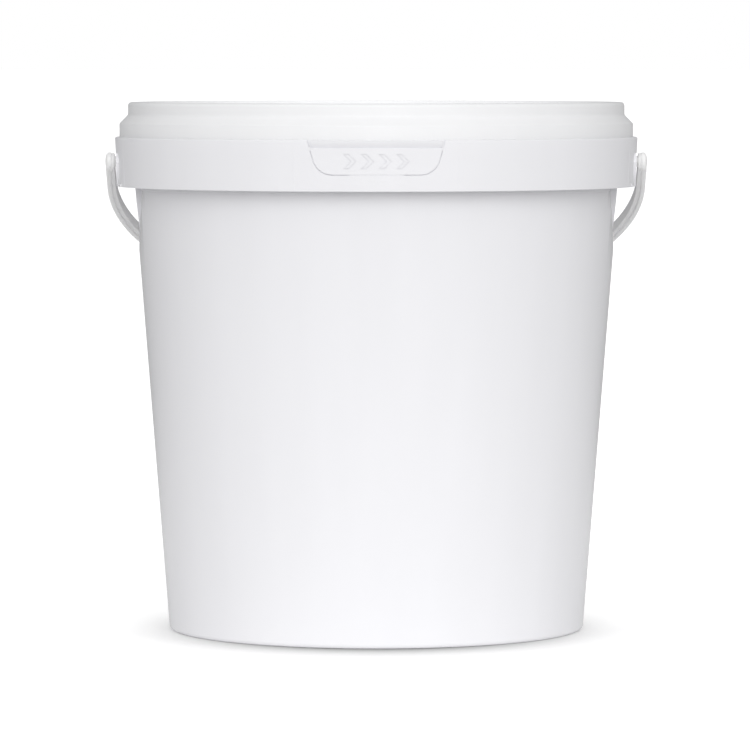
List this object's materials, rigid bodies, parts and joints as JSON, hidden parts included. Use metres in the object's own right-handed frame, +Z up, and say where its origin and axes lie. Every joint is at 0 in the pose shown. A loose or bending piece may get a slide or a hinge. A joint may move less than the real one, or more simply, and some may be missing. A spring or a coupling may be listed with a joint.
{
  "type": "bucket with lid",
  "caption": "Round tapered plastic bucket with a press-on lid, a tamper-evident collar with a tear tab, and a plastic bail handle that swings over the lid.",
  "frame": {"origin": "centre of the bucket's foot, on the surface that it stands on", "axes": "+Z up along the bucket's axis; the handle's pivots lie on X; the tear tab faces -Y and the handle hangs towards +Y"},
  "size_m": [0.2118, 0.204, 0.2061],
  "materials": {
    "bucket_plastic": "white injection-moulded plastic, satin",
    "lid_plastic": "white injection-moulded plastic, satin, a little glossier than the bucket",
    "handle_plastic": "natural white plastic, slightly translucent"
  },
  "bodies": {
    "bucket": {"bucket": "bucket_plastic"},
    "lid": {"lid": "lid_plastic"},
    "handle": {"handle": "handle_plastic"}
  },
  "joints": [
    {"name": "handle_swing", "type": "hinge", "parent": "bucket", "child": "handle", "pos_m": [0, 0, 0.1829], "axis": [1, 0, 0], "range_deg": [0, 243]},
    {"name": "lid_lift", "type": "slide", "parent": "bucket", "child": "lid", "axis": [0, 0, 1], "range_m": [0, 0.06]}
  ]
}
